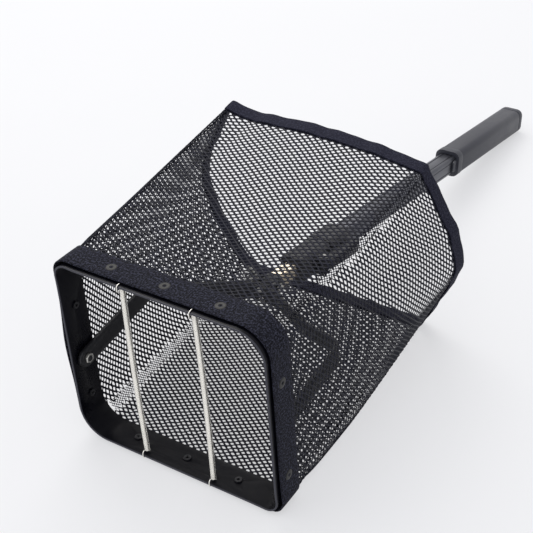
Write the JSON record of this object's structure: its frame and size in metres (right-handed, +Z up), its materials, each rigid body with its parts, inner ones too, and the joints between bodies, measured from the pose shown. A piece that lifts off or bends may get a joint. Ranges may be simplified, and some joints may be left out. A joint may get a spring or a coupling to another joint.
{
  "type": "ball collector",
  "caption": "Court ball collector: a hoop with springs across its mouth, an open-backed net bag, and a telescopic handle on a yoke hinged inside the hoop.",
  "frame": {"origin": "centre of the overall box on the ground", "axes": "+X across the mouth, +Y from the mouth to the grip, +Z up from the ground"},
  "size_m": [0.274, 0.6643, 0.1977],
  "materials": {
    "hoop_lacquer": "black gloss lacquer on sprung steel strip",
    "webbing": "matt woven polyester webbing",
    "seam_cloth": "doubled net with zigzag stitching",
    "net": "knitted open polyester net",
    "black_steel": "satin black coating",
    "bright_steel": "bright zinc",
    "spring_steel": "close-wound bright wire",
    "black_nylon": "fine matt moulding",
    "gloss_nylon": "smooth moulding",
    "pale_aluminium": "satin, natural",
    "black_aluminium": "black anodised, satin",
    "grip_polymer": "matt charcoal moulding"
  },
  "bodies": {
    "hoop": {"hoop_band": "hoop_lacquer", "hoop_webbing": "webbing", "rivet_top_left": "black_steel", "rivet_top_middle": "black_steel", "rivet_top_right": "black_steel", "rivet_bottom_left": "black_steel", "rivet_bottom_middle": "black_steel", "rivet_bottom_right": "black_steel", "rivet_left_low": "black_steel", "rivet_left_high": "black_steel", "rivet_right_low": "black_steel", "rivet_right_high": "black_steel", "spring_left": "spring_steel", "spring_right": "spring_steel", "yoke_bolt_left": "black_steel", "yoke_bolt_right": "black_steel", "yoke_washer_left": "black_nylon", "yoke_washer_right": "black_nylon", "yoke_nut_left": "bright_steel", "yoke_nut_right": "bright_steel", "net_top": "net", "net_right": "net", "net_bottom": "net", "net_left": "net", "seam_top_left": "seam_cloth", "seam_top_right": "seam_cloth", "seam_bottom_right": "seam_cloth", "seam_bottom_left": "seam_cloth", "rear_binding": "webbing"},
    "yoke": {"yoke": "black_steel", "hub_bracket": "black_nylon", "hub_rivet_upper": "black_steel", "hub_rivet_lower": "black_steel", "hub_bolt": "bright_steel", "hub_wing_nut": "black_nylon"},
    "handle_inner": {"tube_socket": "black_nylon", "socket_pin": "bright_steel", "inner_tube": "pale_aluminium", "guide_bush": "black_nylon"},
    "handle_outer": {"lock_sleeve": "black_nylon", "lock_ring": "gloss_nylon", "lock_clamp": "black_nylon", "lever_pin": "bright_steel", "outer_tube": "black_aluminium", "grip_collar": "black_nylon", "grip": "grip_polymer", "grip_cap": "grip_polymer"},
    "lever": {"lock_lever": "black_nylon"}
  },
  "joints": [
    {"name": "yoke_tilt", "type": "hinge", "parent": "hoop", "child": "yoke", "pos_m": [0, -0.31665, 0.0769], "axis": [1, 0, 0], "range_deg": [-6, 10]},
    {"name": "handle_tilt", "type": "hinge", "parent": "yoke", "child": "handle_inner", "pos_m": [0, -0.17987, 0.09734], "axis": [1, 0, 0], "range_deg": [-10, 25]},
    {"name": "handle_extend", "type": "slide", "parent": "handle_inner", "child": "handle_outer", "axis": [0, 0.9866, -0.1633], "range_m": [-0.02, 0.3]},
    {"name": "lever_open", "type": "hinge", "parent": "handle_outer", "child": "lever", "pos_m": [0.0175, -0.1187, 0.08722], "axis": [0, -0.1633, -0.9866], "range_deg": [0, 100]}
  ]
}
